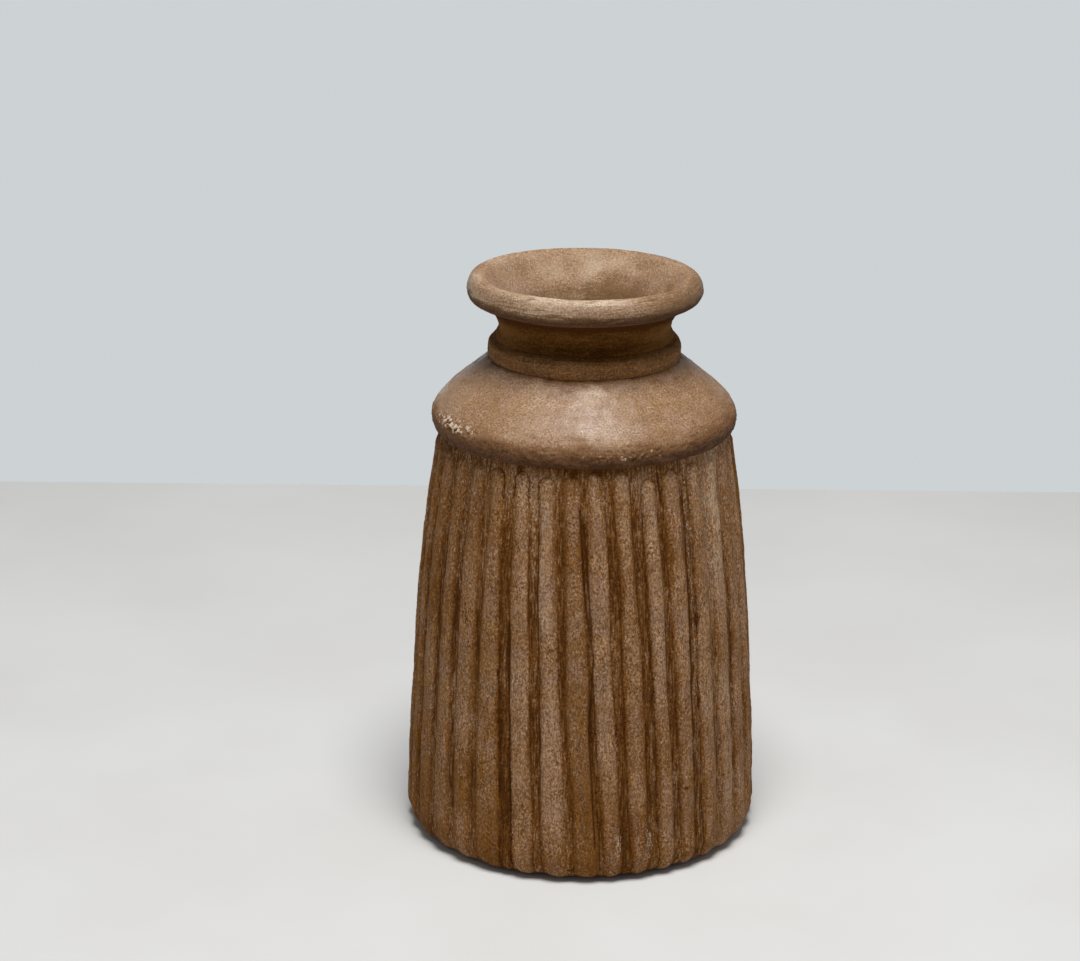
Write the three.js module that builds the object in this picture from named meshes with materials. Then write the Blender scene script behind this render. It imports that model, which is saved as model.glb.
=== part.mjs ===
// Fluted stoneware vase, built the way a potter builds it: six clay sections that lock together with
// stepped or tongued joints, and two soft coils pressed over the inner seams.
// Millimetres, +Z up. The origin is the centre of the resting face, on the table.
import * as THREE from "three";

// ---- Driving dimensions ----------------------------------------------------------------------------
const HEIGHT = 200;
const JOINT_GAP = 0.3; // clearance between any two sections

// Rolled rim
const RIM_CREST_R = 36.9;
const RIM_OUTER_R = 40.4;
const RIM_WIDEST_Z = 194.3;
const RIM_SEAT_R = 35.5;
const RIM_SEAT_Z = 191.3;
const FUNNEL_R = 28.2; // the mouth has narrowed to this at the rim's seat

// Waisted neck
const NECK_WAIST_R = 30.5;
const NECK_WAIST_Z = 185.2;
const NECK_FOOT_R = 29.4;
const THROAT_R = 23;
const THROAT_TOP_Z = 183.5;

// Round collar over the seam between neck and shoulder
const COLLAR_TOP_Z = 178.1;
const COLLAR_R = 33.3;
const COLLAR_WIDEST_Z = 174.9;
const COLLAR_SEAT_R = 32.6;
const COLLAR_SEAT_Z = 171.3;

// Domed shoulder
const SHOULDER_BREAK_R = 44.6; // the straight slope starts to round over here
const SHOULDER_BREAK_Z = 161.6;
const SHOULDER_R = 52.7;
const SHOULDER_WIDEST_Z = 150.9;
const SHOULDER_SEAT_R = 50.6;
const SHOULDER_SEAT_Z = 146.1;
const SHOULDER_WALL = 7;

// Fluted wall
const WALL_FOOT_R = 62.3;
const WALL_FOOT_Z = 9.2; // the foot curve starts here and turns in below it
const WALL_END_R = 56.5;
const WALL_END_Z = 0.8; // the carved edge stays just off the table
const WALL = 8; // thickness at the ridges
const FLUTES = 36;
const FLUTE_DEPTH = 1.6;
const FLUTE_RUN_OUT = 7; // the flutes fade out over this height under the shoulder
const GROOVE_SHARE = 0.44; // of each flute's width; the ridge has the rest

// Base slab
const SLAB_FLANGE_R = 52;
const SLAB_FLANGE = 3.5;
const SLAB_BOSS_R = 48;
const SLAB_THICK = 8.5;
const SLAB_CHAMFER = 0.6;

// Joint tongues and seam coils
const TONGUE = 3; // height of the two larger tongues
const RIM_TONGUE = 2.4;
const COIL_RADIUS = 2.2;

// Facets around the axis. The wall has three to a flute: one groove line and two ridge edges.
const WALL_FACETS = FLUTES * 3;
const RING_FACETS = 48;

// ---- Clay colours ----------------------------------------------------------------------------------
const clay = (color) => new THREE.MeshStandardMaterial({ color, roughness: 0.82, metalness: 0 });

// ---- Outline helpers -------------------------------------------------------------------------------
const point = (r, z) => new THREE.Vector2(r, z);

// Part of an ellipse about (r, z), from one angle to another in degrees.
function arc(r, z, radiusR, radiusZ, from, to, steps) {
  const points = [];
  for (let i = 0; i <= steps; i++) {
    const turn = THREE.MathUtils.degToRad(from + ((to - from) * i) / steps);
    points.push(point(r + radiusR * Math.cos(turn), z + radiusZ * Math.sin(turn)));
  }
  return points;
}

// A ring or disc of clay. The outline runs anticlockwise, with the radius to the right.
function turned(outline, facets = RING_FACETS) {
  const onAxis = outline[0].x === 0 && outline.at(-1).x === 0;
  const closed = onAxis ? outline : [...outline, outline[0].clone()];
  return new THREE.LatheGeometry(closed, facets).rotateX(Math.PI / 2);
}

function section(name, color, geometry) {
  const mesh = new THREE.Mesh(geometry, clay(color));
  mesh.name = name;
  return mesh;
}

// ---- Base slab: a flange that carries the wall, and a boss that centres it --------------------------
function baseSlab() {
  return turned([
    point(0, 0),
    point(SLAB_FLANGE_R - SLAB_CHAMFER, 0),
    point(SLAB_FLANGE_R, SLAB_CHAMFER),
    point(SLAB_FLANGE_R, SLAB_FLANGE),
    point(SLAB_BOSS_R, SLAB_FLANGE),
    point(SLAB_BOSS_R, SLAB_THICK),
    point(0, SLAB_THICK),
  ]);
}

// ---- Fluted wall: stands on the slab's flange, with a tongue on its top edge ------------------------
const WALL_TOP_Z = SHOULDER_SEAT_Z - JOINT_GAP;
const WALL_TONGUE_INNER_R = 44.8;
const WALL_TONGUE_OUTER_R = 48;
const WALL_LINE = new THREE.SplineCurve([
  point(WALL_FOOT_R, WALL_FOOT_Z),
  point(61.3, 34),
  point(58.5, 80),
  point(55.5, 112),
  point(SHOULDER_SEAT_R, WALL_TOP_Z),
]);

// Cuts the flutes into the turned wall. Only the outline's stations from first to last are carved.
// The ridge edges also move round, to make the grooves narrower than the ridges.
function carve(geometry, stations, first, last) {
  const position = geometry.getAttribute("position");
  const facetTurn = (2 * Math.PI) / WALL_FACETS;
  const ridgeEdgeTurn = facetTurn - (Math.PI / FLUTES) * GROOVE_SHARE;
  for (let i = 0; i < position.count; i++) {
    const station = i % stations;
    const column = Math.floor(i / stations) % 3;
    if (station < first || station > last) continue;
    const [x, y, z] = [position.getX(i), position.getY(i), position.getZ(i)];
    const below = THREE.MathUtils.clamp((WALL_TOP_Z - z) / FLUTE_RUN_OUT, 0, 1);
    const depth = column === 0 ? FLUTE_DEPTH * Math.sin((below * Math.PI) / 2) : 0;
    const shift = [0, -ridgeEdgeTurn, ridgeEdgeTurn][column];
    const radius = Math.hypot(x, y) - depth;
    const turn = Math.atan2(y, x) + shift;
    position.setXY(i, radius * Math.cos(turn), radius * Math.sin(turn));
  }
  return geometry;
}

function flutedWall() {
  const foot = arc(
    WALL_END_R, WALL_FOOT_Z, WALL_FOOT_R - WALL_END_R, WALL_FOOT_Z - WALL_END_Z, -90, 0, 4);
  const rise = WALL_LINE.getSpacedPoints(7).slice(1);
  // One close station shapes the rounded ends of the flutes.
  const fluteEnd = WALL_LINE.getPointAt(1 - (0.4 * FLUTE_RUN_OUT) / WALL_LINE.getLength());
  const outside = [...foot, ...rise.slice(0, -1), fluteEnd, rise.at(-1)];
  const insideAt = (share) => {
    const across = WALL_LINE.getPointAt(share);
    return point(across.x - WALL, across.y);
  };
  const seatR = SLAB_FLANGE_R + JOINT_GAP;
  const boreR = SLAB_BOSS_R + JOINT_GAP;
  const ledgeR = boreR + COIL_RADIUS + JOINT_GAP;
  const outline = [
    point(seatR, WALL_END_Z),
    ...outside,
    point(WALL_TONGUE_OUTER_R, WALL_TOP_Z),
    point(WALL_TONGUE_OUTER_R, WALL_TOP_Z + TONGUE),
    point(WALL_TONGUE_INNER_R, WALL_TOP_Z + TONGUE),
    point(WALL_TONGUE_INNER_R, WALL_TOP_Z),
    insideAt(1),
    insideAt(0.7),
    insideAt(0.35),
    insideAt(0.05),
    point(ledgeR, SLAB_THICK),
    point(boreR, SLAB_THICK),
    point(boreR, SLAB_FLANGE + JOINT_GAP),
    point(seatR, SLAB_FLANGE + JOINT_GAP),
  ];
  return carve(turned(outline, WALL_FACETS), outline.length + 1, 1, outside.length);
}

// ---- Shoulder: fits over the wall's tongue, and its top takes the neck's tongue ---------------------
const NECK_TONGUE_INNER_R = 25.2;
const NECK_TONGUE_OUTER_R = 27.6;
const SHOULDER_TOP_Z = COLLAR_SEAT_Z - JOINT_GAP;

// The outside line: a straight slope, then one curve over to the widest point.
const slope = point(SHOULDER_BREAK_R - COLLAR_SEAT_R, SHOULDER_BREAK_Z - COLLAR_SEAT_Z).normalize();
const slopeToWidest = (SHOULDER_R - SHOULDER_BREAK_R) / slope.x;
const SHOULDER_CURVE = new THREE.QuadraticBezierCurve(
  point(SHOULDER_R, SHOULDER_WIDEST_Z),
  point(SHOULDER_R, SHOULDER_BREAK_Z + slopeToWidest * slope.y),
  point(SHOULDER_BREAK_R, SHOULDER_BREAK_Z),
);

function shoulder() {
  const inward = point(slope.y, -slope.x).multiplyScalar(SHOULDER_WALL);
  const underside = arc(
    SHOULDER_SEAT_R, SHOULDER_WIDEST_Z, SHOULDER_R - SHOULDER_SEAT_R,
    SHOULDER_WIDEST_Z - SHOULDER_SEAT_Z, -90, 0, 4);
  const innerEdgeR = SHOULDER_SEAT_R - WALL;
  return turned([
    ...underside,
    ...SHOULDER_CURVE.getPoints(6).slice(1),
    point(COLLAR_SEAT_R, SHOULDER_TOP_Z),
    point(NECK_TONGUE_OUTER_R + JOINT_GAP, SHOULDER_TOP_Z),
    point(NECK_TONGUE_OUTER_R + JOINT_GAP, SHOULDER_TOP_Z - TONGUE),
    point(NECK_TONGUE_INNER_R - JOINT_GAP, SHOULDER_TOP_Z - TONGUE),
    point(NECK_TONGUE_INNER_R - JOINT_GAP, SHOULDER_TOP_Z),
    point(THROAT_R, SHOULDER_TOP_Z),
    point(THROAT_R, SHOULDER_TOP_Z - TONGUE - 2),
    point(SHOULDER_BREAK_R + inward.x, SHOULDER_BREAK_Z + inward.y),
    point(innerEdgeR + 1, SHOULDER_WIDEST_Z - 1),
    point(innerEdgeR, SHOULDER_SEAT_Z),
    point(WALL_TONGUE_INNER_R - JOINT_GAP, SHOULDER_SEAT_Z),
    point(WALL_TONGUE_INNER_R - JOINT_GAP, WALL_TOP_Z + TONGUE + JOINT_GAP),
    point(WALL_TONGUE_OUTER_R + JOINT_GAP, WALL_TOP_Z + TONGUE + JOINT_GAP),
    point(WALL_TONGUE_OUTER_R + JOINT_GAP, SHOULDER_SEAT_Z),
  ]);
}

// ---- Neck: stands in the shoulder's groove and carries the rim --------------------------------------
const RIM_TONGUE_INNER_R = 30.2;
const RIM_TONGUE_OUTER_R = 32.6;
const NECK_TOP_Z = RIM_SEAT_Z - JOINT_GAP;

function neck() {
  const flare = arc(
    RIM_SEAT_R, NECK_WAIST_Z, RIM_SEAT_R - NECK_WAIST_R, NECK_TOP_Z - NECK_WAIST_Z, 180, 90, 5);
  return turned([
    point(NECK_TONGUE_INNER_R, SHOULDER_TOP_Z - TONGUE + JOINT_GAP),
    point(NECK_TONGUE_OUTER_R, SHOULDER_TOP_Z - TONGUE + JOINT_GAP),
    point(NECK_TONGUE_OUTER_R, COLLAR_SEAT_Z),
    point(NECK_FOOT_R, COLLAR_SEAT_Z),
    point(NECK_FOOT_R, COLLAR_TOP_Z),
    ...flare,
    point(RIM_TONGUE_OUTER_R, NECK_TOP_Z),
    point(RIM_TONGUE_OUTER_R, NECK_TOP_Z + RIM_TONGUE),
    point(RIM_TONGUE_INNER_R, NECK_TOP_Z + RIM_TONGUE),
    point(RIM_TONGUE_INNER_R, NECK_TOP_Z),
    point(FUNNEL_R, NECK_TOP_Z),
    point(THROAT_R + 2.4, THROAT_TOP_Z + 3),
    point(THROAT_R, THROAT_TOP_Z - 2),
    point(THROAT_R, COLLAR_SEAT_Z),
    point(NECK_TONGUE_INNER_R, COLLAR_SEAT_Z),
  ]);
}

// ---- Collar: a round coil luted around the foot of the neck -----------------------------------------
function collar() {
  const innerR = NECK_FOOT_R + JOINT_GAP;
  const lower = arc(
    COLLAR_SEAT_R, COLLAR_WIDEST_Z, COLLAR_R - COLLAR_SEAT_R,
    COLLAR_WIDEST_Z - COLLAR_SEAT_Z, -90, 0, 4);
  const upper = arc(
    innerR, COLLAR_WIDEST_Z, COLLAR_R - innerR,
    COLLAR_TOP_Z - JOINT_GAP - COLLAR_WIDEST_Z, 0, 90, 5);
  return turned([point(innerR, COLLAR_SEAT_Z), ...lower, ...upper.slice(1)]);
}

// ---- Rim: a rolled lip with a groove over the neck's tongue -----------------------------------------
function rolledRim() {
  const underside = arc(
    RIM_SEAT_R, RIM_WIDEST_Z, RIM_OUTER_R - RIM_SEAT_R, RIM_WIDEST_Z - RIM_SEAT_Z, -90, 0, 4);
  const roll = arc(
    RIM_CREST_R, RIM_WIDEST_Z, RIM_OUTER_R - RIM_CREST_R, HEIGHT - RIM_WIDEST_Z, 0, 90, 5);
  const funnel = arc(
    RIM_CREST_R, RIM_SEAT_Z, RIM_CREST_R - FUNNEL_R, HEIGHT - RIM_SEAT_Z, 90, 180, 5);
  return turned([
    ...underside,
    ...roll.slice(1),
    ...funnel.slice(1),
    point(RIM_TONGUE_INNER_R - JOINT_GAP, RIM_SEAT_Z),
    point(RIM_TONGUE_INNER_R - JOINT_GAP, NECK_TOP_Z + RIM_TONGUE + JOINT_GAP),
    point(RIM_TONGUE_OUTER_R + JOINT_GAP, NECK_TOP_Z + RIM_TONGUE + JOINT_GAP),
    point(RIM_TONGUE_OUTER_R + JOINT_GAP, RIM_SEAT_Z),
  ]);
}

// ---- Seam coils: half-round rolls of clay pressed over the inner seams ------------------------------
function floorSeamCoil() {
  const seamR = SLAB_BOSS_R + JOINT_GAP / 2;
  return turned(arc(seamR, SLAB_THICK + JOINT_GAP, COIL_RADIUS, COIL_RADIUS, 0, 180, 5));
}

function shoulderSeamCoil() {
  const seamR = SHOULDER_SEAT_R - WALL - JOINT_GAP;
  return turned(arc(seamR, SHOULDER_SEAT_Z, COIL_RADIUS, COIL_RADIUS, 90, 270, 5));
}

// ---- Assembly --------------------------------------------------------------------------------------
const vase = new THREE.Group();
vase.add(
  section("base_slab", 0x8a6a4c, baseSlab()),
  section("fluted_wall", 0x79573a, flutedWall()),
  section("shoulder", 0x9c7753, shoulder()),
  section("neck", 0x7d5a3a, neck()),
  section("collar", 0x86623f, collar()),
  section("rolled_rim", 0x9c7753, rolledRim()),
  section("floor_seam_coil", 0x8a6a4c, floorSeamCoil()),
  section("shoulder_seam_coil", 0x8a6a4c, shoulderSeamCoil()),
);

export default vase;
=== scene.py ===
"""The looks of the fluted stoneware vase.

Each visible piece replaces one CAD section and rides on the root body. Outlines are worked out in
millimetres from the sections' boxes, and turned into meshes in metres. Angles are in degrees from the
front of the vase, and positive to the right.
"""
import math

import bpy
import numpy as np
from mathutils import Matrix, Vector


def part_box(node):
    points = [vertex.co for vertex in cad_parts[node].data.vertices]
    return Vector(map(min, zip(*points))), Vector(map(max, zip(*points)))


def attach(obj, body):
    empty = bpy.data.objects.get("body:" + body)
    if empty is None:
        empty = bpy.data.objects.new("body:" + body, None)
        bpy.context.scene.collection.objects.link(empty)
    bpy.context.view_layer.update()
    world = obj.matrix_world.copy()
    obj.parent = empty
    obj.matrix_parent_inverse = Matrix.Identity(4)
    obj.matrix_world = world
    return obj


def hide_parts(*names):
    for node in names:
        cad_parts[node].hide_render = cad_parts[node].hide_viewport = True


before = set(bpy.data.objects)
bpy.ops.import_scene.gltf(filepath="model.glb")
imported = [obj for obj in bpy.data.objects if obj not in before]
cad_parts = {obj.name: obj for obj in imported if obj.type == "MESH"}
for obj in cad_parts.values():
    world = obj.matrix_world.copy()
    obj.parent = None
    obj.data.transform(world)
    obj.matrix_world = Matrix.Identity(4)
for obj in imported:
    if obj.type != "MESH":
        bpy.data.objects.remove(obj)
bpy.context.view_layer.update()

MM = 0.001


# ---- Sizes, from the CAD sections ---------------------------------------------------------------
def section(node):
    """The outer radius, lowest height and highest height of a CAD section, in millimetres."""
    low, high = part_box(node)
    return high.x / MM, low.z / MM, high.z / MM


RIM_R, RIM_SEAT_Z, RIM_TOP_Z = section("rolled_rim")
COLLAR_R, COLLAR_SEAT_Z, COLLAR_TOP_Z = section("collar")
SHOULDER_R, SHOULDER_SEAT_Z, SHOULDER_TOP_Z = section("shoulder")
WALL_R, WALL_END_Z, _ = section("fluted_wall")
SLAB_R, _, SLAB_TOP_Z = section("base_slab")


# ---- Shape helpers ------------------------------------------------------------------------------
def arc(r, z, radius_r, radius_z, start, end, spacing=0.6):
    """Points on part of an ellipse about (r, z), from one angle to another in degrees."""
    length = math.radians(abs(end - start)) * max(radius_r, radius_z)
    turn = np.radians(np.linspace(start, end, max(3, round(length / spacing) + 1)))
    return np.column_stack([r + radius_r * np.cos(turn), z + radius_z * np.sin(turn)])


def line(start, end, spacing=0.6):
    """Evenly spaced points on a straight line, both ends included."""
    steps = max(1, round(math.dist(start, end) / spacing))
    return np.linspace(start, end, steps + 1)


def curve_through(points, spacing=0.9):
    """A smooth line through a few points, as a Catmull-Rom spline."""
    points = np.array(points, float)
    ends = np.vstack([2 * points[0] - points[1], points, 2 * points[-1] - points[-2]])
    made = []
    for before, start, end, after in zip(ends, ends[1:], ends[2:], ends[3:]):
        steps = max(1, round(math.dist(start, end) / spacing))
        t = np.arange(steps)[:, None] / steps
        made.append(
            0.5 * (2 * start + (end - before) * t
                   + (2 * before - 5 * start + 4 * end - after) * t ** 2
                   + (3 * start - before - 3 * end + after) * t ** 3)
        )
    return np.vstack([*made, points[-1:]])


MEETING_GAP = 0.05  # two outlines' ends that are closer than this are one point


def joined(*parts):
    """One outline from several, without the points where two of them meet."""
    outline = [parts[0]]
    for part in parts[1:]:
        meets = math.dist(outline[-1][-1], part[0]) < MEETING_GAP
        outline.append(part[1:] if meets else part)
    return np.vstack(outline)


def smooth(value, low, high):
    """0 below low, 1 above high, and a smooth step between them. It also runs from high to low."""
    t = np.clip((value - low) / (high - low), 0, 1)
    return t * t * (3 - 2 * t)


def bump_at(distance, width):
    """1 at distance 0, falling away smoothly over about width."""
    return np.exp(-((distance / width) ** 2))


def ripple(angle, z, around, upward, seed, waves=40):
    """Seeded smooth noise on a turned surface, with a spread of about 1.

    around is its usual wavelength in degrees, and upward its usual wavelength in millimetres.
    """
    draw = np.random.default_rng(seed)
    turns = np.round(draw.normal(0, 360 / around, waves))
    rise = draw.normal(0, 2 * math.pi / upward, waves)
    phase = draw.uniform(0, 2 * math.pi, waves)
    total = np.zeros(np.broadcast(angle, z).shape)
    for m, k, p in zip(turns, rise, phase):
        total += np.cos(np.radians(m * angle) + k * z + p)
    return total * math.sqrt(2 / waves)


def angle_between(angle, other):
    """How far one angle is to the right of another, from -180 to 180."""
    return (angle - other + 180) % 360 - 180


def facing(angle, middle, width):
    """1 on the side of the vase at the angle middle, falling away smoothly over about width."""
    return bump_at(angle_between(angle, middle), width)


def turned_piece(name, outline, columns, surface, angles=None):
    """A closed ring of clay on the vase's axis, with its own relief.

    outline holds (r, z) points in order round the section, anticlockwise with r to the right.
    surface(angle, r, z) returns how far each point stands off the outline, and the attributes
    painted on it. angles gives each point's angle, if they aren't evenly spaced.
    """
    r = np.repeat(outline[:, :1], columns, axis=1)
    z = np.repeat(outline[:, 1:], columns, axis=1)
    if angles is None:
        angles = np.tile(np.arange(columns) * 360 / columns, (len(outline), 1))
    along = np.roll(outline, -1, axis=0) - np.roll(outline, 1, axis=0)
    along /= np.maximum(np.linalg.norm(along, axis=1, keepdims=True), 1e-9)
    relief, paint = surface(angles, r, z)
    r = r + relief * along[:, 1:]
    z = z - relief * along[:, :1]
    turn = np.radians(angles)
    points = np.stack([r * np.sin(turn), -r * np.cos(turn), z], axis=-1).reshape(-1, 3) * MM

    ring, column = np.meshgrid(np.arange(len(outline)), np.arange(columns), indexing="ij")
    next_ring = (ring + 1) % len(outline)
    next_column = (column + 1) % columns
    corners = [ring * columns + column, ring * columns + next_column,
               next_ring * columns + next_column, next_ring * columns + column]
    faces = np.stack(corners, axis=-1).reshape(-1, 4)

    mesh = bpy.data.meshes.new(name)
    mesh.from_pydata(points.tolist(), [], faces.tolist())
    mesh.shade_smooth()
    for key, values in paint.items():
        layer = mesh.attributes.new(key, "FLOAT", "POINT")
        layer.data.foreach_set("value", np.broadcast_to(values, r.shape).ravel().astype(np.float32))
    piece = bpy.data.objects.new(name, mesh)
    bpy.context.scene.collection.objects.link(piece)
    return piece


def mark_along(path, angle, r, z, width):
    """1 along a thin mark through (angle, height) points, lowest first, and 0 beyond its width."""
    angles, heights = np.array(path, float).T
    away = np.radians(angle_between(angle, np.interp(z, heights, angles))) * r
    past_end = np.maximum(heights[0] - z, z - heights[-1])
    return bump_at(away, width) * smooth(past_end, 1, -1)


def spot_at(spot, angle, r, z):
    """1 in the middle of a soft spot and 0 beyond it. spot is (angle, height, width, tallness)."""
    middle, height, width, tallness = spot
    away = np.radians(angle_between(angle, middle)) * r
    return bump_at(np.hypot(away / width, (z - height) / tallness), 1)


def hand_pressed(angle, z, seed, depth=0.14):
    """The slow unevenness that hands leave in clay, with faint turning rings."""
    return (depth * ripple(angle, z, 50, 30, seed)
            + 0.3 * depth * ripple(angle, z, 9, 7, seed + 1)
            + 0.25 * depth * ripple(angle, z, 150, 2.2, seed + 2))


# Four attributes are painted on every piece, each about 0 to 1 and sometimes past either end:
# "wash" is how much stain has soaked in, and in places painted shade too, "tone" how pale (or below
# 0, how dark) the clay is, and in places painted light and painted shade too, "chalk" how much
# crust has dried on it, and "calm" how dull and free of brush marks it is.


# ---- Rim ----------------------------------------------------------------------------------------
CREST_R = RIM_R - 3.5
LIP_Z = RIM_TOP_Z - 5.4  # the lip is widest here
LIP_UNDER_R = RIM_R - 5.4
LIP_UNDER_Z = RIM_SEAT_Z - 0.9
FUNNEL_R = CREST_R - 9.1  # the mouth has narrowed to this at the rim's seat
THROAT_R = 23
THROAT_Z = 183.5
LINING_END_Z = THROAT_Z - 5  # the rim's clay lines the throat down to here
RIM_HEEL_R = RIM_R - 9  # the hidden heel that the rim stands on
RIM_LEAN = math.radians(0.6)  # the rim dips a little to the right


def rim_surface(angle, r, z):
    inside = smooth(r, CREST_R + 0.5, CREST_R - 3)
    outside = 1 - inside
    brushed = ripple(angle, z, 22, 2.2, 15)
    patches = ripple(angle, z, 35, 12, 18)
    front, front_left = facing(angle, 0, 50), facing(angle, -50, 50)
    right, back = facing(angle, 65, 40), facing(angle, 180, 55)
    # The lip's underside is darkened partly by stain and partly as painted shade.
    lip_underside_stain_and_shade = smooth(z + 0.7 * brushed, LIP_Z + 2, LIP_UNDER_Z + 2) * outside
    # Painted shade: a shadow patch at the back of the funnel and darkening down the throat.
    shadow = smooth(z, RIM_SEAT_Z + 3.2, RIM_SEAT_Z - 1.3) * facing(angle, 152, 32)
    throat_shade = (smooth(z, RIM_SEAT_Z - 0.3, RIM_SEAT_Z - 3.3) + shadow) * inside
    # A painted highlight along the crest, put on the front only.
    crest_highlight = bump_at(z - RIM_TOP_Z + 0.6, 1.5) * smooth(r, CREST_R - 2, CREST_R)
    swelling = front_left * outside * bump_at(z - LIP_Z + 2.6, 2.5)
    return hand_pressed(angle, z, 11, 0.08) + 0.9 * swelling, {
        "wash_and_shade": (1.3 * lip_underside_stain_and_shade + 0.3 * throat_shade + inside * (0.05 + 0.08 * patches)
                 + (0.1 * brushed + 0.3 * right) * outside),
        "chalk": 0,
        # Painted light: the back of the funnel is paler than its sides.
        "tone": (0.3 * ripple(angle, z, 60, 15, 17)
                 + (1.1 * back - 0.2 * patches - 1.5 * throat_shade) * inside
                 + (0.8 - 2.3 * right) * outside + 1.7 * front * crest_highlight),
        "calm": inside + lip_underside_stain_and_shade,
    }


rim_outline = joined(
    curve_through([(LIP_UNDER_R, LIP_UNDER_Z), (RIM_R - 3.1, LIP_Z - 3.1), (RIM_R - 1, LIP_Z - 2.1),
                   (RIM_R, LIP_Z)], 0.5),
    arc(CREST_R, LIP_Z, RIM_R - CREST_R, RIM_TOP_Z - LIP_Z, 0, 90),
    curve_through([(CREST_R, RIM_TOP_Z), (CREST_R - 2.5, RIM_TOP_Z - 0.9),
                   (CREST_R - 5.5, RIM_TOP_Z - 4.1), (FUNNEL_R, RIM_SEAT_Z),
                   (THROAT_R + 1.6, THROAT_Z + 3.5), (THROAT_R, THROAT_Z),
                   (THROAT_R, LINING_END_Z)], 0.6),
    line((THROAT_R + 2, LINING_END_Z), (RIM_HEEL_R, RIM_SEAT_Z - 1), 3),
    line((RIM_HEEL_R, RIM_SEAT_Z - 1), (LIP_UNDER_R - 1.5, LIP_UNDER_Z + 0.1), 2),
)


# ---- Neck and collar ----------------------------------------------------------------------------
NECK_FOOT_R = 29.4
NECK_FOOT_Z = COLLAR_SEAT_Z - 0.3
WAIST_R = NECK_FOOT_R + 0.2
WAIST_Z = COLLAR_TOP_Z + 3.5
COLLAR_WIDEST_Z = COLLAR_TOP_Z - 2.9
COLLAR_SEAT_R = COLLAR_R - 0.7
COLLAR_LOW_Z = COLLAR_SEAT_Z - 0.5  # pressed this far into the shoulder
COLLAR_HIGH_Z = COLLAR_TOP_Z + 0.8  # and up against the neck
COLLAR_INNER_R = NECK_FOOT_R - 1


def neck_surface(angle, r, z):
    relief = hand_pressed(angle, z, 21, 0.11) + 0.06 * ripple(angle, z, 120, 1.6, 24)
    # Painted light on the waist and on the left and right sides, and painted shade at the top under
    # the lip.
    lit = bump_at(z - WAIST_Z - 3.2, 2.2) * (0.5 + 0.25 * ripple(angle, z, 40, 4, 25))
    lit_sides = bump_at(abs(angle_between(angle, 0)) - 70, 25) * smooth(z, WAIST_Z + 5.7, WAIST_Z + 1.7)
    shaded = smooth(z, WAIST_Z + 5.2, WAIST_Z + 8.2)
    smear = facing(angle, 8, 14) * bump_at(z - COLLAR_TOP_Z - 1.8, 1.5)
    smear = smear * smooth(ripple(angle, z, 6, 2.5, 27), -1, 1)
    bore = smooth(r, THROAT_R + 2.5, THROAT_R + 1)
    return relief, {
        "wash_and_shade": 1.25 - 0.2 * lit - 0.72 * lit_sides + 0.5 * shaded + 0.4 * smear - 0.4 * bore,
        "chalk": 0,
        "tone": 0.3 * ripple(angle, z, 80, 3, 26),
        "calm": 0.2,
    }


neck_outline = joined(
    line((THROAT_R, NECK_FOOT_Z), (NECK_FOOT_R, NECK_FOOT_Z), 2),
    curve_through([(WAIST_R + 1.4, WAIST_Z - 5), (WAIST_R + 0.9, WAIST_Z - 2), (WAIST_R, WAIST_Z),
                   (WAIST_R + 0.3, WAIST_Z + 2.3), (WAIST_R + 1.5, WAIST_Z + 4.9),
                   (WAIST_R + 3.4, WAIST_Z + 7.4), (LIP_UNDER_R + 0.2, LIP_UNDER_Z + 0.1)], 0.5),
    line((LIP_UNDER_R - 3, LIP_UNDER_Z + 0.2), (THROAT_R + 2.3, LINING_END_Z - 0.3), 3),
    line((THROAT_R, LINING_END_Z - 0.2), (THROAT_R, NECK_FOOT_Z), 1.5)[:-1],
)


def collar_surface(angle, r, z):
    relief = hand_pressed(angle, z, 31, 0.12) + 0.05 * ripple(angle, z, 100, 1.4, 34)
    low = smooth(z, COLLAR_SEAT_Z + 1.2, COLLAR_SEAT_Z - 0.3)
    high = smooth(z, COLLAR_TOP_Z - 2.4, COLLAR_TOP_Z - 0.4)
    wiped = 0.18 * ripple(angle, z, 30, 1.8, 35) + 0.15 * ripple(angle, z, 70, 1.1, 36)
    return relief, {
        "wash_and_shade": 0.8 * low + 0.65 * high - 0.2 + wiped,
        "chalk": 0,
        "tone": 0.2 + 0.3 * ripple(angle, z, 80, 3, 37),
        "calm": 0.2,
    }


collar_outline = joined(
    line((COLLAR_INNER_R, COLLAR_LOW_Z), (COLLAR_SEAT_R - 0.4, COLLAR_LOW_Z), 1),
    arc(COLLAR_SEAT_R - 0.4, COLLAR_WIDEST_Z, COLLAR_R - COLLAR_SEAT_R + 0.4,
        COLLAR_WIDEST_Z - COLLAR_LOW_Z, -90, 0, 0.4),
    arc(NECK_FOOT_R, COLLAR_WIDEST_Z, COLLAR_R - NECK_FOOT_R,
        COLLAR_HIGH_Z - COLLAR_WIDEST_Z, 0, 90, 0.4),
    line((COLLAR_INNER_R, COLLAR_TOP_Z), (COLLAR_INNER_R, COLLAR_SEAT_Z), 2)[:-1],
)


# ---- Shoulder -----------------------------------------------------------------------------------
BREAK_R = SHOULDER_R - 8.1
BREAK_Z = SHOULDER_TOP_Z - 9.4
SHOULDER_WIDEST_Z = SHOULDER_SEAT_Z + 4.8
CREASE_R = SHOULDER_R - 2.1
CRUST = (-59, 14)  # the middle and half-width of the crusty patch on the shoulder's edge
FLAKES = (18, 24)  # the same for the loose flakes along its lower front


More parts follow.
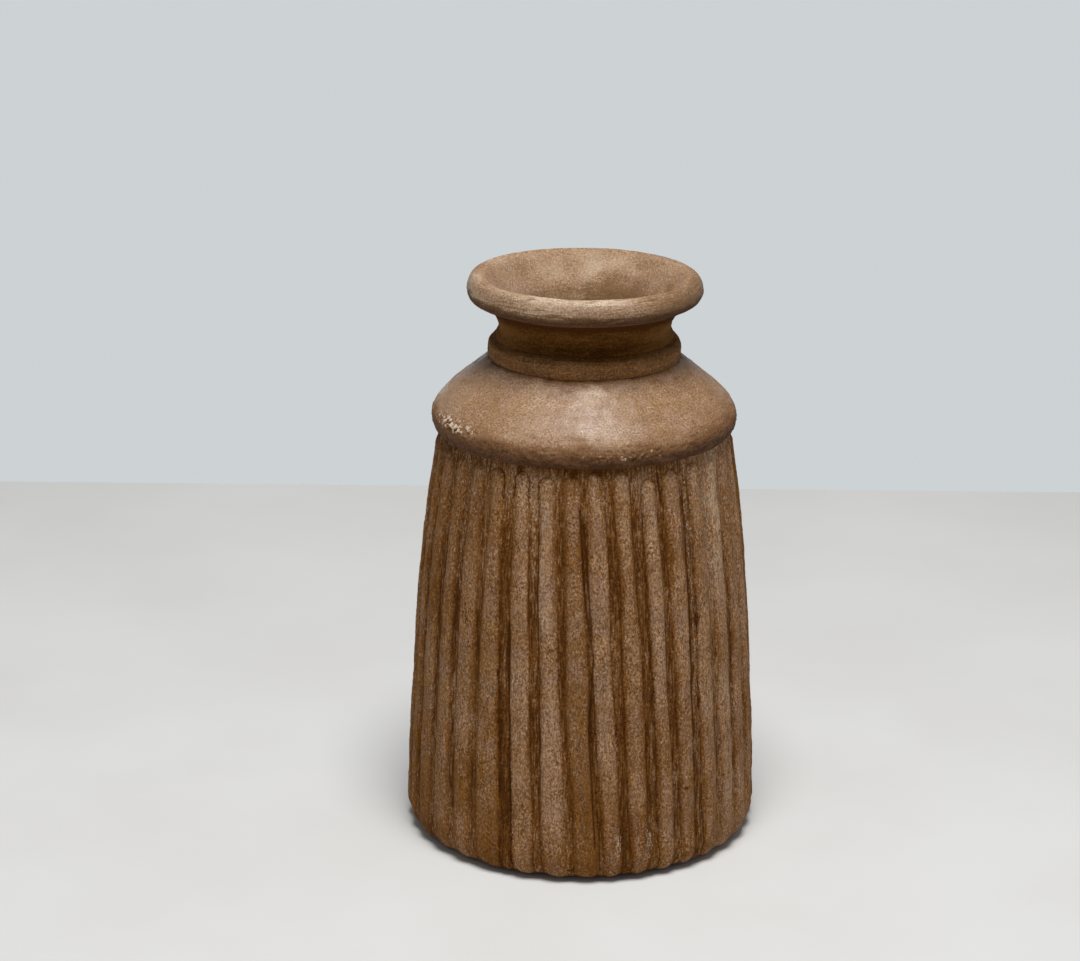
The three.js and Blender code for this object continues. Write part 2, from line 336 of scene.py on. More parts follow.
def shoulder_surface(angle, r, z):
    right, left = facing(angle, 75, 45), facing(angle, -60, 40)
    front = smooth(abs(angle_between(angle, 20)), 70, 30)
    rough = ripple(angle, z, 2.2, 1.8, 44)
    fringe = np.clip(ripple(angle, z, 14, 20, 48), -1.6, 1.6)

    # The underside and the crease below it, then the top and its seam with the collar.
    reach = 5.5 + 4 * right + 2.5 * left + 0.8 * ripple(angle, z, 20, 30, 49)
    # The underside is darkened partly by stain and partly as painted shade.
    under_edge_stain_and_shade = smooth(z, SHOULDER_WIDEST_Z + reach, SHOULDER_SEAT_Z + 1.5)
    # Painted shade in the crease below the underside.
    crease_shade = smooth(z + 0.5 * ripple(angle, z, 9, 6, 50), SHOULDER_SEAT_Z + 3, SHOULDER_SEAT_Z)
    top = smooth(r, COLLAR_SEAT_R + 3 + 2 * front + 1.3 * fringe, COLLAR_SEAT_R)
    # A painted highlight on the top of the shoulder, at the front.
    painted_highlight = 1.1 * facing(angle, 5, 25) * smooth(r, SHOULDER_R - 10, SHOULDER_R - 16)
    seam = smooth(r, COLLAR_SEAT_R + 1.2 + 0.4 * fringe, COLLAR_SEAT_R + 0.2)
    inner = smooth(r, COLLAR_SEAT_R - 3, COLLAR_SEAT_R - 6)

    # What has dried on the rounded edge, and what has chipped off it.
    rounded = smooth(r, SHOULDER_R - 6.7, SHOULDER_R - 1.7)
    crust = facing(angle, *CRUST) * bump_at(z - SHOULDER_WIDEST_Z - 3, 2.4) * rounded
    flakes = facing(angle, *FLAKES) * bump_at(z - SHOULDER_WIDEST_Z + 0.4, 2.2) * rounded
    edge = smooth(z, SHOULDER_WIDEST_Z + 7.1, SHOULDER_WIDEST_Z + 2.1)
    edge = edge * smooth(r, SHOULDER_R - 3.5, SHOULDER_R)
    pitted = edge * smooth(rough, -0.6, -1.8)
    relief = (hand_pressed(angle, z, 41, 0.12) + 0.07 * edge * ripple(angle, z, 3, 2, 45)
              + 0.3 * (crust + 0.5 * flakes) * rough - 0.15 * pitted)
    return relief, {
        "wash_and_shade": (1.05 * under_edge_stain_and_shade + 0.5 * crease_shade + (0.3 + 0.25 * front) * top + 0.5 * seam + 0.1 * right
                 + 0.09 * ripple(angle, z, 20, 5, 46) + 0.25 * pitted + 0.7 * inner),
        "chalk": 1.1 * crust * smooth(rough, -0.3, 0.5) + 0.6 * flakes * smooth(rough, 0.3, 1.3),
        "tone": 0.35 * ripple(angle, r + z, 55, 25, 47) - 1.2 * right + painted_highlight,
        "calm": 0.6 * under_edge_stain_and_shade,
    }


# From its widest ring the shoulder rounds over, as a quadratic curve, into the slope of its top.
slope_z = (BREAK_Z - COLLAR_SEAT_Z) / (BREAK_R - COLLAR_SEAT_R)
curve_top_z = BREAK_Z + slope_z * (SHOULDER_R - BREAK_R)
t = np.linspace(0, 1, 26)[:, None]
shoulder_round = ((1 - t) ** 2 * [SHOULDER_R, SHOULDER_WIDEST_Z]
                  + 2 * t * (1 - t) * [SHOULDER_R, curve_top_z]
                  + t ** 2 * [BREAK_R, BREAK_Z])
shoulder_outline = joined(
    line((CREASE_R - 6, SHOULDER_SEAT_Z), (CREASE_R, SHOULDER_SEAT_Z), 1.5),
    arc(CREASE_R, SHOULDER_WIDEST_Z, SHOULDER_R - CREASE_R,
        SHOULDER_WIDEST_Z - SHOULDER_SEAT_Z, -90, 0, 0.4),
    shoulder_round,
    line((BREAK_R, BREAK_Z), (COLLAR_SEAT_R, COLLAR_SEAT_Z), 0.6),
    line((COLLAR_SEAT_R, COLLAR_SEAT_Z), (COLLAR_SEAT_R - 5, COLLAR_SEAT_Z - 0.3), 1.5),
    line((THROAT_R, COLLAR_SEAT_Z - 0.5), (THROAT_R, COLLAR_SEAT_Z - 5), 2),
    line((BREAK_R - 4.4, BREAK_Z - 5.4), (CREASE_R - 8, SHOULDER_SEAT_Z + 2), 3),
)


# ---- Fluted wall --------------------------------------------------------------------------------
FLUTES = 36
POINTS_PER_FLUTE = 20
WALL_RINGS = 108  # from the foot's curve up to the shoulder
# The channels of the front half: each one's middle at mid height, its width in millimetres, how
# dark it is, and how pale the ridge on its right is. The rest are spread over the back.
FRONT_CHANNELS = [
    (-70, 3.4, 0.3, -0.6), (-58.5, 3.2, 0.4, -0.2), (-48.6, 3.4, 0.3, 0.1), (-38.3, 3.2, 0.3, -0.5),
    (-26.7, 4.8, 1.0, 0.5), (-16.2, 3.8, 0.7, 1.0), (-6, 2.8, 0.3, -1.1), (3.2, 2.0, 0.6, 0.7),
    (12.3, 3.8, 0.6, -0.3), (22.3, 4.4, 0.7, 0.5), (32, 3.2, 0.6, 0.2), (42, 4.0, 1.0, 0.3),
    (52, 3.6, 0.3, 0.6), (62.5, 3.2, 0.4, 0.1), (73, 3.4, 0.3, 0.2),
]
MID_Z = 75
CHANNEL_DEPTH = 1.4
LEAN = 6.4 / 130  # of the front channels, in degrees for each millimetre down
ARCH_Z = SHOULDER_SEAT_Z - 3  # the ridges end in round arches at about this height
FOOT_Z = 9.2  # the foot's curve starts here and turns in below it
FOOT_INSET = 5.8
WALL_THICK = 8
# Marks on the wall, each through a few (angle, height) points.
CRACKS = [
    [(5, 13), (2.7, 55), (4, 82), (1.2, 100), (-1.2, 133)],
    [(3.6, 88), (2.4, 103), (0.4, 128)],
    [(-22.6, 12), (-24.2, 55), (-25.6, 92)],
    [(40.7, 36), (40.5, 80), (40.2, 136)],
    [(30.4, 132), (29.2, 144)],
]
CHALK_LINES = [
    [(-22, 14), (-23.4, 50)],
    [(42.2, 72), (42, 108), (41.5, 146)],
    [(12.4, 42), (11.6, 54)],
]
# Soft spots on the wall: (angle, height, width, tallness).
DARK_SPOTS = [(-25.6, 82, 0.9, 8), (43.7, 90, 1.4, 3), (25, 110.5, 1.5, 0.8),
              (20.6, 111.2, 1.4, 0.7), (3.3, 117, 0.8, 0.8), (36.5, 31, 1.3, 0.7)]
CHALK_SPOTS = [(27.9, 68, 2.2, 4), (27.9, 50, 2, 2), (12.3, 14, 1.6, 8), (22.8, 14, 1.8, 8),
               (20.6, 109.8, 1.2, 0.6), (27.5, 127, 0.8, 0.8)]


def channel_plan():
    """Each channel's middle, width, darkness and next ridge's paleness, all the way round."""
    draw = np.random.default_rng(51)
    front = np.array(FRONT_CHANNELS)
    back = FLUTES - len(front)
    gap = (360 + front[0, 0] - front[-1, 0]) / (back + 1)
    middle = front[-1, 0] + gap * np.arange(1, back + 1) + draw.uniform(-0.8, 0.8, back)
    width = draw.uniform(2.6, 4.6, back)
    darkness = draw.uniform(0.2, 1, back)
    paleness = draw.normal(0, 0.6, back)
    return np.vstack([front, np.column_stack([middle, width, darkness, paleness])])


def channel_lines(z):
    """The angle of each channel's middle at the heights z, and at last the first one's again."""
    middle = channel_plan()[:, 0]
    lean = LEAN * facing(middle, 2, 40)
    lines = middle[:, None] + lean[:, None] * (MID_Z - z)
    lines = lines + 0.25 * ripple(7 * middle[:, None], z, 40, 120, 52)
    return np.vstack([lines, lines[:1] + 360])


def wall_angles(z):
    """The angle of each point of the wall: every flute has the same number of points across."""
    lines = channel_lines(z)
    share = np.arange(POINTS_PER_FLUTE) / POINTS_PER_FLUTE
    start, end = lines[:-1, :, None], lines[1:, :, None]
    return (start + (end - start) * share).transpose(1, 0, 2).reshape(len(z), -1)


def wall_marks(around, height):
    """How dark and how chalky the wall's cracks, lines and spots make it."""
    def lines(paths, width):
        return sum(mark_along(path, around, WALL_R, height, width) for path in paths)

    def spots(places):
        return sum(spot_at(place, around, WALL_R, height) for place in places)

    dark = np.minimum(lines(CRACKS, 0.5) + spots(DARK_SPOTS), 1)
    chalk = 0.36 * lines(CHALK_LINES, 0.6) + 0.42 * spots(CHALK_SPOTS)
    return dark, chalk


def wall_surface(angle, r, z):
    """The flutes. Beyond the four usual attributes it paints "within", how far inside a ridge's edge
    a point is, "channel", how stained its channel is, "scored", how deep a line runs along the
    edge, and "dark", for cracks and specks.
    """
    by_flute = (len(z), FLUTES, POINTS_PER_FLUTE)
    height = z.reshape(by_flute)
    around = angle.reshape(by_flute)
    lines = channel_lines(z[:, 0])
    pitch = np.radians((lines[1:] - lines[:-1]).T)[:, :, None] * r[:, :1, None]
    width, left_dark, pale = channel_plan()[:, 1:].T[:, :, None]
    left_half, right_half = width / 2, np.roll(width, -1, 0) / 2
    right_dark = np.roll(left_dark, -1, 0)
    draw = np.random.default_rng(61)
    depth_change, top_shift = draw.normal(0, 1, (2, FLUTES, 1))

    # How far inside its ridge's edge each point is, in millimetres: negative in the channel.
    wander = 0.14 * ripple(around, height, 8, 90, 62) + 0.05 * ripple(around, height, 3, 10, 63)
    ridge_half = (pitch - left_half - right_half) / 2
    across = np.arange(POINTS_PER_FLUTE) / POINTS_PER_FLUTE * pitch - left_half - ridge_half
    above = np.maximum(height - (ARCH_Z + 1.1 * top_shift - ridge_half), 0)
    within = ridge_half - np.hypot(across, above) + wander

    cut = smooth(height, ARCH_Z + 2, ARCH_Z - 18)
    worn = 0.4 + 0.6 * smooth(height, 2, 24)
    depth = CHANNEL_DEPTH * (1 + 0.14 * depth_change) * (0.45 + 0.55 * cut) * worn
    on_ridge = smooth(within, -0.75, 0.95)
    crown = np.clip(1 - within / ridge_half, 0, 1) ** 2 * on_ridge
    dark_channel = np.where(across < 0, left_dark, right_dark)
    scored = dark_channel * smooth(ripple(around, height, 25, 30, 64) + dark_channel, -0.2, 1)
    scored = np.maximum(scored, (0.2 + 0.6 * dark_channel) * smooth(above, 0, 1.5))
    dark, chalk = wall_marks(around, height)
    pits = smooth(ripple(around, height, 2.2, 2.4, 65, 60), 2.1, 3.2)
    fuller_right = smooth(height, 95, 130) * facing(around, 90, 45)
    relief = (-depth * (1 - on_ridge) - 0.75 * crown - 0.3 * bump_at(within + 0.6, 0.4) * scored
              - 0.25 * pits - 0.35 * dark + 0.45 * fuller_right
              + 0.1 * ripple(around, height, 12, 25, 66) + 0.05 * ripple(around, height, 2, 3, 67))

    # Where the paint changes: up the wall, from the crease down to the foot, and round it.
    left_side = smooth(angle_between(around, 0), -5, -45)
    right_side = smooth(angle_between(around, 0), 25, 50)
    from_front = abs(angle_between(around, -3))
    # Painted shade at the top of the wall, in the crease under the shoulder, strongest at the front.
    crease_shade = smooth(height, SHOULDER_SEAT_Z - 3, SHOULDER_SEAT_Z)
    crease_shade = crease_shade * (0.25 + 0.75 * facing(around, 5, 35))
    top = smooth(height, ARCH_Z - 18, ARCH_Z + 1) * (0.12 * left_side - 0.1 * right_side)
    arches = smooth(height, ARCH_Z - 28, ARCH_Z - 5)
    high = smooth(height, 88, 106) * (1 - 0.6 * arches)
    low = smooth(height, 60, 15)
    foot = smooth(height, 20, 2)
    pale = pale * (1 - 0.4 * low - 0.4 * high)
    uneven = 0.13 * ripple(around, height, 25, 60, 69) + 0.08 * ripple(around, height, 5, 70, 70)
    clean_right = (0.22 + 0.5 * high + 0.25 * low + 0.2 * arches) * right_side
    paint = {
        "wash_and_shade": (0.9 * crease_shade + top + 0.1 * high + 0.18 * low + 0.2 * foot + 0.3 * pits + uneven
                 + 0.1 * left_side - 0.08 * right_side - 0.15 * pale),
        "tone": (0.6 * pale + 0.4 * ripple(around, height, 30, 35, 68) - 0.4 * low + 0.4 * arches
                 - 0.3 * left_side + (0.6 - 0.5 * high) * right_side),
        "chalk": chalk,
        "calm": -smooth(from_front, 30, 50) * (1 - 0.5 * smooth(from_front, 90, 130)),
        "within": np.clip(within, -2, 3),
        "channel": (0.46 + 0.35 * dark_channel - 0.2 * high - 0.28 * low - 0.25 * foot
                    - 0.45 * arches - 0.12 * left_side - clean_right
                    + 0.12 * ripple(around, height, 10, 80, 71)),
        "scored": scored * (1 - 0.6 * high * right_side),
        "dark": dark,
    }

    # The inside of the wall has no flutes and no paint.
    outside = smooth(r - wall_radius(z), -4, -2.5)
    paint = {key: np.broadcast_to(value, by_flute).reshape(z.shape) * outside
             for key, value in paint.items()}
    paint["within"] = paint["within"] + 3 * (1 - outside)
    return relief.reshape(z.shape) * outside, paint


WALL_STATIONS = [(WALL_R, FOOT_Z), (61.3, 34), (60.1, 53), (58.5, 80), (55.5, 112),
                 (CREASE_R - 0.2, SHOULDER_SEAT_Z + 0.4)]
wall_curve = curve_through(WALL_STATIONS, 0.5)
share = np.linspace(0, 1, WALL_RINGS)
share = share + 0.35 * share * (1 - share)  # rings lie closer together toward the top
ring_heights = np.interp(share, [0, 1], wall_curve[[0, -1], 1])
wall_line = np.column_stack([np.interp(ring_heights, wall_curve[:, 1], wall_curve[:, 0]),
                             ring_heights])
foot_arc = arc(WALL_R - FOOT_INSET, FOOT_Z, FOOT_INSET, FOOT_Z - WALL_END_Z, -90, 0, 1)


def wall_radius(z):
    """The radius of the wall's outside line at the heights z, before carving."""
    outside = np.vstack([foot_arc, wall_line])
    return np.interp(z, outside[:, 1], outside[:, 0])


inner_stations = [(r - WALL_THICK, z) for r, z in
                  (WALL_STATIONS[4], WALL_STATIONS[3], WALL_STATIONS[1], (WALL_R, 16))]
wall_outline = joined(
    line((SLAB_R + 0.2, WALL_END_Z), (WALL_R - FOOT_INSET, WALL_END_Z), 1.2),
    foot_arc,
    wall_line,
    line((CREASE_R - 4, SHOULDER_SEAT_Z + 1), (CREASE_R - 8, SHOULDER_SEAT_Z - 1), 2),
    curve_through(inner_stations, 24),
    line((SLAB_R - 3, SLAB_TOP_Z), (SLAB_R + 0.2, SLAB_TOP_Z - 3), 3),
)


# ---- Pieces: the CAD node each one replaces, its outline, columns, surface and angles -----------
PIECES = {
    "vase_rim": ("rolled_rim", rim_outline, 432, rim_surface, None),
    "vase_neck": ("neck", neck_outline, 360, neck_surface, None),
    "vase_collar": ("collar", collar_outline, 360, collar_surface, None),
    "vase_shoulder": ("shoulder", shoulder_outline, 540, shoulder_surface, None),
    "vase_wall": ("fluted_wall", wall_outline, FLUTES * POINTS_PER_FLUTE, wall_surface,
                  wall_angles(wall_outline[:, 1])),
}
made = {}
for piece_name, (node, outline, columns, surface, angles) in PIECES.items():
    piece = turned_piece(piece_name, outline, columns, surface, angles)
    if node == "rolled_rim":
        seat = Matrix.Translation((0, 0, RIM_SEAT_Z * MM))
        piece.data.transform(seat @ Matrix.Rotation(RIM_LEAN, 4, "Y") @ seat.inverted())
    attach(piece, "root")
    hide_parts(node)
    made[node] = piece


# ---- Stoneware material -------------------------------------------------------------------------
MARKS_R = 35  # turning marks are laid out on a ring of this radius, in millimetres
MARKS_PER_MM = 0.2  # how fast they change round the vase
MARKS_STRETCH = 8  # and how many times faster they change across it


class Shader:
    """A material's nodes. Each method adds one or a few, and gives back an output."""

    def __init__(self, name):
        self.material = bpy.data.materials.new(name)
        self.material.use_nodes = True
        self.tree = self.material.node_tree
        self.principled = self.tree.nodes["Principled BSDF"]

    def add(self, kind, inputs, output=0, **settings):
        """A node of any kind. inputs holds a value or another node's output for each socket."""
        node = self.tree.nodes.new(kind)
        for key, value in settings.items():
            setattr(node, key, value)
        for key, value in inputs.items():
            self.connect(node.inputs[key], value)
        return node.outputs[output]

    def connect(self, socket, value):
        if isinstance(value, bpy.types.NodeSocket):
            self.tree.links.new(value, socket)
        else:
            socket.default_value = value

    def math(self, operation, first, second=0.0, third=0.0):
        return self.add("ShaderNodeMath", {0: first, 1: second, 2: third}, operation=operation)

    def total(self, *terms):
        """The sum of (weight, value) pairs."""
        result = 0.0
        for weight, value in terms:
            result = self.math("MULTIPLY_ADD", value, weight, result)
        return result

    def step(self, value, low, high, start=0.0, end=1.0):
        """A smooth step from start to end, as value goes from low to high."""
        inputs = {0: value, 1: low, 2: high, 3: start, 4: end}
        return self.add("ShaderNodeMapRange", inputs, interpolation_type="SMOOTHSTEP")

    def mix(self, factor, first, second, blend="MIX"):
        return self.add("ShaderNodeMix", {0: factor, 6: first, 7: second}, 2,
                        data_type="RGBA", blend_type=blend)

    def paint(self, name):
        """One of the attributes painted on the mesh."""
        return self.add("ShaderNodeAttribute", {}, "Fac", attribute_name=name)

    def place(self, stretch=(1, 1, 1)):
        """Object coordinates in millimetres. A stretch below 1 draws a texture out that way."""
        scale = [s / MM for s in stretch]
        position = self.add("ShaderNodeTexCoord", {}, "Object")
        return self.add("ShaderNodeMapping", {"Vector": position, "Scale": scale})

    def noise(self, place, per_mm, detail=2.0, roughness=0.5, distortion=0.0, fourth=None):
        """Noise from 0 to 1. fourth is its fourth coordinate, if it has one."""
        inputs = {"Vector": place, "Scale": per_mm, "Detail": detail,
                  "Roughness": roughness, "Distortion": distortion}
        if fourth is None:
            return self.add("ShaderNodeTexNoise", inputs)
        inputs["W"] = fourth
        return self.add("ShaderNodeTexNoise", inputs, noise_dimensions="4D")

    def turning_marks(self):
        """Noise from -0.5 to 0.5, drawn out round the vase whichever way the surface faces."""
        flat = self.place((1, 1, 0))
        radius = self.add("ShaderNodeVectorMath", {0: flat}, "Value", operation="LENGTH")
        direction = self.add("ShaderNodeVectorMath", {0: flat}, operation="NORMALIZE")
        ring = self.add("ShaderNodeVectorMath", {0: direction, 1: (MARKS_R, MARKS_R, 0)},
                        operation="MULTIPLY")
        height = self.place((0, 0, MARKS_STRETCH))
        spot = self.add("ShaderNodeVectorMath", {0: ring, 1: height}, operation="ADD")
        outward = self.math("MULTIPLY", radius, MARKS_STRETCH)
        marks = self.noise(spot, MARKS_PER_MM, 3, 0.6, 0, outward)
        return self.step(marks, 0.3, 0.7, -0.5, 0.5)

    def upward_marks(self):
        """Noise from -0.5 to 0.5, drawn out up the wall."""
        marks = self.noise(self.place((2, 2, 0.15)), 0.8, 3, 0.7)
        return self.step(marks, 0.3, 0.7, -0.5, 0.5)


# The darkest stain, which also colours the deepest painted shade.
DEEP_STAIN_AND_SHADE = (0.065, 0.02, 0.002, 1)
CHALK = (0.66, 0.52, 0.38, 1)
SPECKLE_DARK = (0.13, 0.08, 0.03, 1)
SPECKLE_LIGHT = (0.88, 0.9, 0.92, 1)


def stoneware(name, pale, warm, blush, fleck, grit, stain, shine, gloss=0.05, rough=1.0,
              grain=1.0, brushed=1.0, fluted=False):
    """Bare, brown-stained stoneware.

    Its clay goes from pale to warm to blush, with darker flecks and lighter grit. gloss is the
    specular level and shine the lowest roughness. rough is the strength of the fine relief, grain
    that of the sandy look and brushed that of the streaks. A fluted piece has its marks up the wall
    and stained channels.
    """
    s = Shader(name)
    plain = s.place()
    cloud = s.noise(plain, 0.045, 3, 0.55)
    mottle = s.noise(plain, 0.28, 4, 0.6)
    sand = s.noise(s.place((1, 1, 0.7)) if fluted else plain, 1.6, 4, 0.65, 0.5)
    marks = s.upward_marks() if fluted else s.turning_marks()
    wash_and_shade, tone, chalk, calm = (s.paint(key) for key in ("wash_and_shade", "tone", "chalk", "calm"))
    marks = s.math("MULTIPLY", marks, s.step(calm, -1, 1, 1.6 * brushed, 0.3 * brushed))
    sandy = s.step(calm, 0.6, 1, 1, 0.65)

    # The clay, with its flecks and grit.
    warmth = s.total((1.2, cloud), (0.9, mottle), (0.3, marks), (-0.28, tone), (0.15, 1.0))
    colour = s.mix(s.step(warmth, 0.85, 1.5), pale, warm)
    colour = s.mix(s.step(s.noise(plain, 0.09, 2), 0.48, 0.62, 0, 0.5), colour, blush)
    flecks = s.math("MULTIPLY", s.step(sand, 0.53, 0.36, 0, 0.45 * grain), sandy)
    colour = s.mix(flecks, colour, fleck)
    colour = s.mix(s.step(sand, 0.52, 0.68, 0, 0.35 * grain), colour, grit)
    # High tone lightens towards grit and low tone darkens towards stain: painted highlights and
    # painted shade come in this way too.
    colour = s.mix(s.step(tone, 0.6, 2.2, 0, 0.8), colour, grit)
    colour = s.mix(s.step(tone, -0.5, -2.5, 0, 0.8), colour, stain)

    # The stain that has soaked into it, deepest in the channels of a fluted piece, together with the
    # painted shade that comes with it: under overhangs, in the throat, in creases and along ridges'
    # edges.
    streaks = s.total((0.4, mottle), (0.85, marks), (-0.6, sand), (0.625, 1.0))
    soak_and_shade = s.total((1, wash_and_shade), (1, streaks))
    if fluted:
        within, scored = s.paint("within"), s.paint("scored")
        edge = s.total((1, within), (0.8, mottle), (0.6, marks), (0.5, sand), (0.45, 1.0))
        channel = s.step(edge, 1.65, 0.65)
        # Painted shade, with some stain, along each ridge's edges, so that the ridges look round.
        ridge_edge_stain_and_shade = s.step(edge, 3, 1.3, 0, 0.36)
        hollow = s.step(edge, -0.2, -1.3)
        lines = s.math("MULTIPLY", channel, marks)
        soak_and_shade = s.math("MULTIPLY_ADD", channel, s.paint("channel"), soak_and_shade)
        soak_and_shade = s.total((1, soak_and_shade), (1, ridge_edge_stain_and_shade), (-0.22, hollow), (0.7, lines))
    stain_and_shade_colour = s.mix(s.step(soak_and_shade, 1.15, 2.05), stain, DEEP_STAIN_AND_SHADE)
    colour = s.mix(s.step(soak_and_shade, 0.5, 1.3, 0, 0.97), colour, stain_and_shade_colour)
    if fluted:
        off_line = s.math("ABSOLUTE", s.math("SUBTRACT", edge, 0.75))
        scratch = s.math("MULTIPLY", s.step(off_line, 0.5, 0.05), scored)
        colour = s.mix(scratch, colour, DEEP_STAIN_AND_SHADE)
        colour = s.mix(s.step(s.paint("dark"), 0.3, 0.8, 0, 0.85), colour, DEEP_STAIN_AND_SHADE)

    # Sandy speckle over both, stronger in some places than in others, and then the crust.
    light = s.step(s.total((1, sand), (0.25, marks)), 0.34, 0.66)
    speckle = s.mix(light, SPECKLE_DARK, SPECKLE_LIGHT)
    strength = s.step(s.noise(plain, 0.13, 2), 0.35, 0.65, 0.3 * grain, 0.62 * grain)
    colour = s.mix(s.math("MULTIPLY", strength, sandy), colour, speckle, "OVERLAY")
    crust = s.total((1.1, chalk), (1.4, sand), (0.35, mottle), (0.3, marks), (-0.45, 1.0))
    colour = s.mix(s.step(crust, 0.75, 1.15, 0, 0.85), colour, CHALK)

    dullness = s.total((0.3, mottle), (0.35, sand), (0.3, wash_and_shade), (0.5, calm))
    roughness = s.step(dullness, 0.1, 0.75, shine, 0.9)
    height = s.total((1.4, sand), (0.4, marks), (0.8, mottle))
    normal = s.add("ShaderNodeBump",
                   {"Strength": 0.7 * rough, "Distance": 0.35 * MM, "Height": height})
    s.connect(s.principled.inputs["Base Color"], colour)
    s.connect(s.principled.inputs["Roughness"], roughness)
    s.connect(s.principled.inputs["Normal"], normal)
    s.principled.inputs["Specular IOR Level"].default_value = gloss
    return s.material


# The shoulder is burnished, the rim rubbed, the neck and collar soaked with stain. Each "stain"
# colour also tints painted shade.
BURNISHED = {
    "pale": (0.375, 0.236, 0.143, 1), "warm": (0.29, 0.162, 0.076, 1),
    "blush": (0.35, 0.22, 0.15, 1), "fleck": (0.17, 0.085, 0.037, 1),
    "grit": (0.58, 0.44, 0.31, 1), "stain": (0.19, 0.087, 0.032, 1),
}
RUBBED = {
    "pale": (0.366, 0.232, 0.14, 1), "warm": (0.28, 0.16, 0.078, 1),
    "blush": (0.34, 0.22, 0.15, 1), "fleck": (0.16, 0.083, 0.038, 1),
    "grit": (0.58, 0.445, 0.315, 1), "stain": (0.168, 0.088, 0.038, 1),
}
SOAKED = {
    "pale": (0.295, 0.145, 0.056, 1), "warm": (0.205, 0.09, 0.028, 1),
    "blush": (0.24, 0.125, 0.05, 1), "fleck": (0.07, 0.026, 0.006, 1),
    "grit": (0.42, 0.26, 0.135, 1), "stain": (0.19, 0.082, 0.018, 1),
}
CARVED = {
    "pale": (0.385, 0.224, 0.123, 1), "warm": (0.275, 0.142, 0.057, 1),
    "blush": (0.348, 0.208, 0.138, 1), "fleck": (0.10, 0.042, 0.011, 1),
    "grit": (0.52, 0.365, 0.24, 1), "stain": (0.185, 0.073, 0.014, 1),
}
MATERIALS = {
    "rolled_rim": stoneware("rim_stoneware", **RUBBED, shine=0.35, gloss=0.3, rough=0.7,
                            grain=0.7, brushed=1.4),
    "neck": stoneware("neck_stoneware", **SOAKED, shine=0.8, gloss=0.04, grain=0.5, brushed=0.6),
    "collar": stoneware("collar_stoneware", **SOAKED, shine=0.8, gloss=0.08, grain=0.7,
                        brushed=1.3),
    "shoulder": stoneware("shoulder_stoneware", **BURNISHED, shine=0.12, gloss=0.34, rough=0.4,
                          grain=0.6, brushed=0.6),
    "fluted_wall": stoneware("carved_stoneware", **CARVED, shine=0.85, fluted=True),
    "base_slab": stoneware("base_stoneware", **CARVED, shine=0.85),
}
for node, piece in made.items():
    piece.data.materials.append(MATERIALS[node])
for node in ("base_slab", "floor_seam_coil", "shoulder_seam_coil"):
    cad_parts[node].data.materials.clear()
    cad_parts[node].data.materials.append(MATERIALS["base_slab"])


# ---- Floor, light and camera --------------------------------------------------------------------
def floor_material():
    s = Shader("pale_floor")
    haze = s.noise(s.place(), 0.01, 3, 0.5)
    colour = s.mix(s.step(haze, 0.3, 0.7), (0.68, 0.67, 0.65, 1), (0.71, 0.705, 0.69, 1))
    s.connect(s.principled.inputs["Base Color"], colour)
    s.principled.inputs["Roughness"].default_value = 0.7
    s.principled.inputs["Specular IOR Level"].default_value = 0.2
    return s.material


FLOOR_BACK = 0.37  # the floor ends this far behind the vase's axis, in metres
FLOOR_REACH = 3  # and this far away on the other three sides
floor_mesh = bpy.data.meshes.new("floor")
floor_mesh.from_pydata(
    [(-FLOOR_REACH, -FLOOR_REACH, 0), (FLOOR_REACH, -FLOOR_REACH, 0),
     (FLOOR_REACH, FLOOR_BACK, 0), (-FLOOR_REACH, FLOOR_BACK, 0)], [], [(0, 1, 2, 3)])
floor = bpy.data.objects.new("floor", floor_mesh)
floor_mesh.materials.append(floor_material())
bpy.context.scene.collection.objects.link(floor)

BACKDROP = (0.610, 0.644, 0.665, 1)  # what lies below the level of the eye
BACKDROP_TOP = -0.12  # it starts to fade at this rise, as the sine of the angle above level
CEILING = (0.21, 0.22, 0.23, 1)
CEILING_FOOT = 0.05


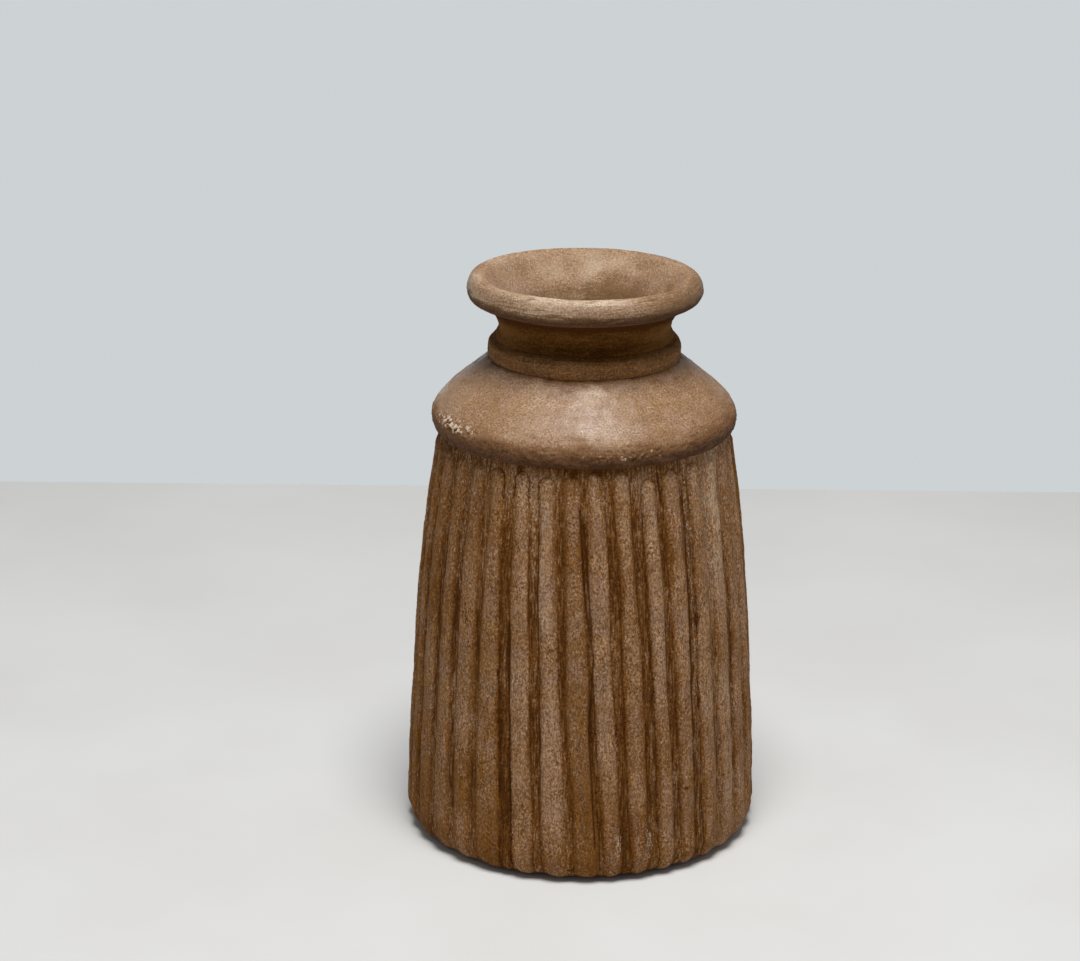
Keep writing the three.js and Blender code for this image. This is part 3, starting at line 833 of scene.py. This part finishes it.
def studio_world():
    """A plain backdrop below and a dimmer ceiling above, with a soft change between them."""
    world = bpy.data.worlds.new("studio")
    world.use_nodes = True
    nodes, links = world.node_tree.nodes, world.node_tree.links
    direction = nodes.new("ShaderNodeTexCoord").outputs["Generated"]
    split = nodes.new("ShaderNodeSeparateXYZ")
    rise = nodes.new("ShaderNodeMapRange")
    rise.interpolation_type = "SMOOTHSTEP"
    rise.inputs["From Min"].default_value = BACKDROP_TOP
    rise.inputs["From Max"].default_value = CEILING_FOOT
    blend = nodes.new("ShaderNodeMix")
    blend.data_type = "RGBA"
    blend.inputs[6].default_value = BACKDROP
    blend.inputs[7].default_value = CEILING
    links.new(direction, split.inputs[0])
    links.new(split.outputs["Z"], rise.inputs["Value"])
    links.new(rise.outputs[0], blend.inputs[0])
    links.new(blend.outputs[2], nodes["Background"].inputs["Color"])
    return world


bpy.context.scene.world = studio_world()


def softbox(name, place, aim, size, power):
    light = bpy.data.lights.new(name, "AREA")
    light.shape = "DISK"
    light.size = size
    light.energy = power
    lamp = bpy.data.objects.new(name, light)
    direction = Matrix.Translation(aim).translation - Matrix.Translation(place).translation
    lamp.matrix_world = (Matrix.Translation(place)
                         @ direction.to_track_quat("-Z", "Y").to_matrix().to_4x4())
    bpy.context.scene.collection.objects.link(lamp)


softbox("overhead", (0.045, -0.34, 1.42), (0, 0, 0.1), 0.6, 20)

EYE = (0, -0.92915, 0.43199)
LOOK_DOWN = 18.26  # degrees, as are the next two
LOOK_LEFT = 0.93
ROLL = 0.29
LENS = 93.35
camera_data = bpy.data.cameras.new("camera")
camera_data.sensor_width = 36
camera_data.lens = LENS
camera_data.clip_start = 0.05
camera = bpy.data.objects.new("camera", camera_data)
camera.matrix_world = (
    Matrix.Translation(EYE)
    @ Matrix.Rotation(math.radians(LOOK_LEFT), 4, "Z")
    @ Matrix.Rotation(math.radians(90 - LOOK_DOWN), 4, "X")
    @ Matrix.Rotation(math.radians(ROLL), 4, "Z")
)
bpy.context.scene.collection.objects.link(camera)
bpy.context.scene.camera = camera
bpy.context.scene.view_settings.view_transform = "Standard"
